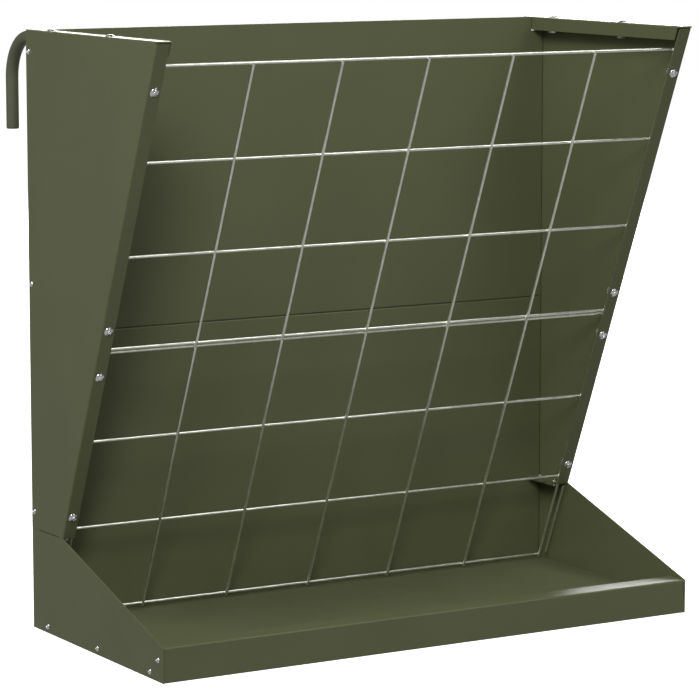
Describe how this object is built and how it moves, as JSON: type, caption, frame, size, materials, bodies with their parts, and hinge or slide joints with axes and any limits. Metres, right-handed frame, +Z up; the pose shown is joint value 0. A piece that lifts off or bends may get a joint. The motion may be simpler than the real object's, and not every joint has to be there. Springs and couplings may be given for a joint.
{
  "type": "hay rack feeder",
  "caption": "Sheet-steel hay rack with a slanted wire grid, a shallow feed tray below and round-bar hooks that hang it over a fence rail.",
  "frame": {"origin": "centre of the bounding box's base, so the tray stands on Z = 0", "axes": "+Z up, +Y towards the fence the feeder hangs on, +X to the right as seen by an animal in front of the grid"},
  "size_m": [0.6038, 0.3358, 0.5983],
  "materials": {
    "olive_panel": "olive-green satin powder coat on sheet steel",
    "hook_steel": "olive-grey satin coat on round bar",
    "grid_wire": "galvanised wire, soft sheen",
    "zinc_fastener": "bright zinc plate"
  },
  "bodies": {
    "root": {"right_side_panel": "olive_panel", "left_side_panel": "olive_panel", "right_tray_side": "olive_panel", "left_tray_side": "olive_panel", "tray_pan": "olive_panel", "lower_back_panel": "olive_panel", "upper_back_panel": "olive_panel", "right_hook": "hook_steel", "left_hook": "hook_steel", "lower_grid_cross_wires": "grid_wire", "lower_grid_upright_wires": "grid_wire", "upper_grid_cross_wires": "grid_wire", "upper_grid_upright_wires": "grid_wire", "right_edge_rod": "grid_wire", "left_edge_rod": "grid_wire", "grid_screws": "zinc_fastener", "grid_washers": "zinc_fastener", "grid_nuts": "zinc_fastener", "hook_bolts": "zinc_fastener", "hook_nuts": "zinc_fastener", "joint_bolts": "zinc_fastener", "joint_nuts": "zinc_fastener", "back_screws": "zinc_fastener", "tray_screws": "zinc_fastener"}
  },
  "joints": []
}
